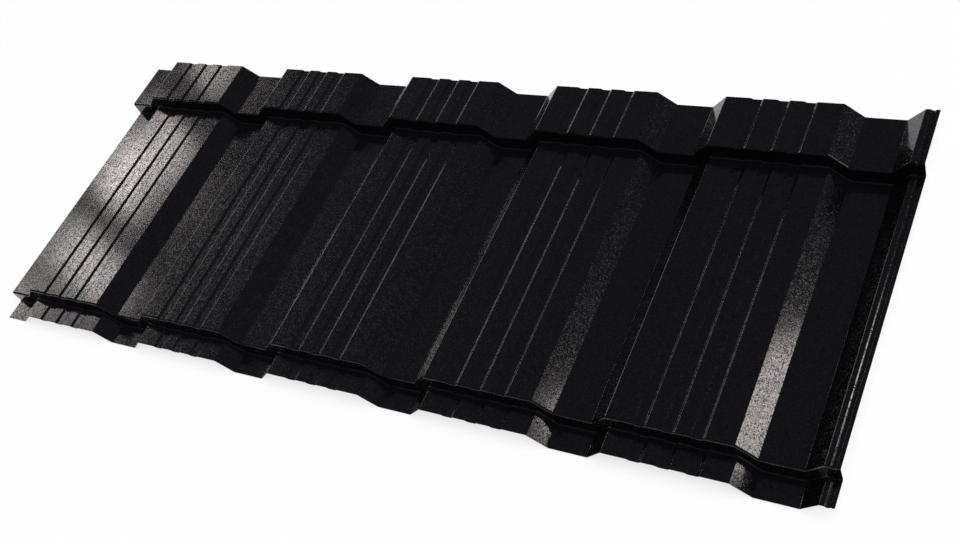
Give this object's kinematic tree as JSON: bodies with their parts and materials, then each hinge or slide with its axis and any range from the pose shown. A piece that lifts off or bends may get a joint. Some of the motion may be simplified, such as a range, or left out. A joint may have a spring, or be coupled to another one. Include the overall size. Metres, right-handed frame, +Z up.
{
  "type": "metal roof tile sheet",
  "caption": "Stepped metal roof tile sheet, one course long, with flat-topped grooved waves, a flat lap flange on one side and a grooved hook strip on the other.",
  "frame": {"origin": "middle of the sheet's width and depth, on the floor that the feet of its two steps rest on", "axes": "+X along the sheet's width, across its waves, towards the hook strip; +Y up the roof, from the lip to the tail; +Z up"},
  "size_m": [1.223, 0.4728, 0.0417],
  "materials": {
    "coated_steel": "black matte polymer coat with a fine grain"
  },
  "bodies": {
    "root": {"tile_sheet": "coated_steel"}
  },
  "joints": []
}
